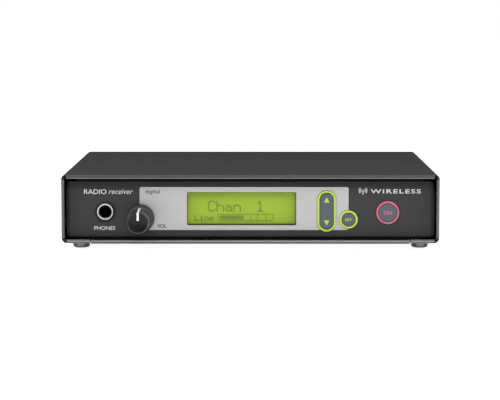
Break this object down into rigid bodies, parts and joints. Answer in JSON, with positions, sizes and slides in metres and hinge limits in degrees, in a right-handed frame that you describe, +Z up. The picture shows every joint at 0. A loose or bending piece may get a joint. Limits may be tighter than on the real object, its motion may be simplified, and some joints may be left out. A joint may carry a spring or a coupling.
{
  "type": "wireless receiver unit",
  "caption": "Half-width rack case wireless audio receiver with back-lit display, rocker and round keys, volume knob, phones jack and rear sockets.",
  "frame": {"origin": "centre of the bounding box on the surface the feet stand on", "axes": "+X to the unit's right as its user faces the front panel, +Y from the front panel to the rear, +Z up"},
  "size_m": [0.2128, 0.2014, 0.043],
  "materials": {
    "case_paint": "dark grey fine-textured powder coat",
    "panel_paint": "dark grey satin paint with printed white lettering",
    "silver_anodised": "silver satin anodised sheet",
    "window_clear": "clear acrylic window",
    "lcd_green": "back-lit yellow-green display",
    "key_grey": "matt slate grey key cap",
    "lime_ring": "lime ring",
    "pink_ring": "pink-red ring",
    "knob_black": "satin black with a white pointer line",
    "black_plastic": "black moulded plastic",
    "foot_rubber": "black rubber, smooth",
    "bright_chrome": "polished",
    "screw_steel": "zinc plated",
    "tinned_steel": "tinned sheet, satin",
    "heat_sink_alu": "extruded, natural",
    "board_green": "green solder mask",
    "cable_grey": "grey flat cable",
    "natural_plastic": "natural white insulator",
    "blue_sleeve": "blue printed sleeve"
  },
  "bodies": {
    "case": {"case_cover": "case_paint", "chassis": "case_paint", "rear_panel": "case_paint", "front_panel": "panel_paint", "silver_fascia": "silver_anodised", "display_window": "window_clear", "lcd_glass": "lcd_green", "lcd_bezel": "tinned_steel", "foot_front_left": "foot_rubber", "foot_front_right": "foot_rubber", "foot_rear_left": "foot_rubber", "foot_rear_right": "foot_rubber", "side_screw_left_front": "screw_steel", "side_screw_left_rear": "screw_steel", "side_screw_right_front": "screw_steel", "side_screw_right_rear": "screw_steel", "rear_screw_left": "screw_steel", "rear_screw_right": "screw_steel", "pot_nut": "screw_steel", "line_jack_nut": "screw_steel", "antenna_nut_left": "screw_steel", "antenna_nut_right": "screw_steel", "cable_hook": "screw_steel", "rocker_ring": "lime_ring", "set_ring": "lime_ring", "power_ring": "pink_ring", "up_switch": "black_plastic", "down_switch": "black_plastic", "set_switch": "black_plastic", "power_switch": "black_plastic", "phones_nut": "black_plastic", "phones_jack": "black_plastic", "line_jack": "black_plastic", "data_socket": "black_plastic", "power_inlet": "black_plastic", "balanced_socket": "black_plastic", "balanced_insert": "black_plastic", "processor_chip": "black_plastic", "antenna_insulator_left": "natural_plastic", "antenna_insulator_right": "natural_plastic", "volume_pot": "tinned_steel", "phones_ferrule": "bright_chrome", "antenna_socket_left": "bright_chrome", "antenna_socket_right": "bright_chrome", "control_board": "board_green", "main_board": "board_green", "ribbon_cable": "cable_grey", "tuner_can_left": "tinned_steel", "tuner_can_right": "tinned_steel", "heat_sink": "heat_sink_alu", "reservoir_capacitor": "blue_sleeve"},
    "volume_dial": {"volume_knob": "knob_black", "pot_shaft": "screw_steel"},
    "rocker": {"rocker_key": "key_grey"},
    "set_key": {"set_button": "key_grey", "set_plunger": "natural_plastic"},
    "power_key": {"power_button": "key_grey", "power_plunger": "natural_plastic"},
    "up_contact": {"up_plunger": "natural_plastic"},
    "down_contact": {"down_plunger": "natural_plastic"}
  },
  "joints": [
    {"name": "volume_turn", "type": "hinge", "parent": "case", "child": "volume_dial", "pos_m": [-0.062, -0.07425, 0.018], "axis": [0, 1, 0], "range_deg": [-150, 150]},
    {"name": "rocker_tilt", "type": "hinge", "parent": "case", "child": "rocker", "pos_m": [0.043, -0.06975, 0.02185], "axis": [1, 0, 0], "range_deg": [-3, 3], "stiffness_Nm_per_rad": 0.3},
    {"name": "set_press", "type": "slide", "parent": "case", "child": "set_key", "axis": [0, 1, 0], "range_m": [0, 0.0008], "stiffness_N_per_m": 2000},
    {"name": "power_press", "type": "slide", "parent": "case", "child": "power_key", "axis": [0, 1, 0], "range_m": [0, 0.0008], "stiffness_N_per_m": 2000},
    {"name": "up_contact_travel", "type": "slide", "parent": "case", "child": "up_contact", "axis": [0, 1, 0], "range_m": [-0.00042, 0.00042]},
    {"name": "down_contact_travel", "type": "slide", "parent": "case", "child": "down_contact", "axis": [0, 1, 0], "range_m": [-0.00042, 0.00042]}
  ],
  "couplings": [
    {"joint": "up_contact_travel", "follows": "rocker_tilt", "m_per_rad": -0.007},
    {"joint": "down_contact_travel", "follows": "rocker_tilt", "m_per_rad": 0.007}
  ]
}
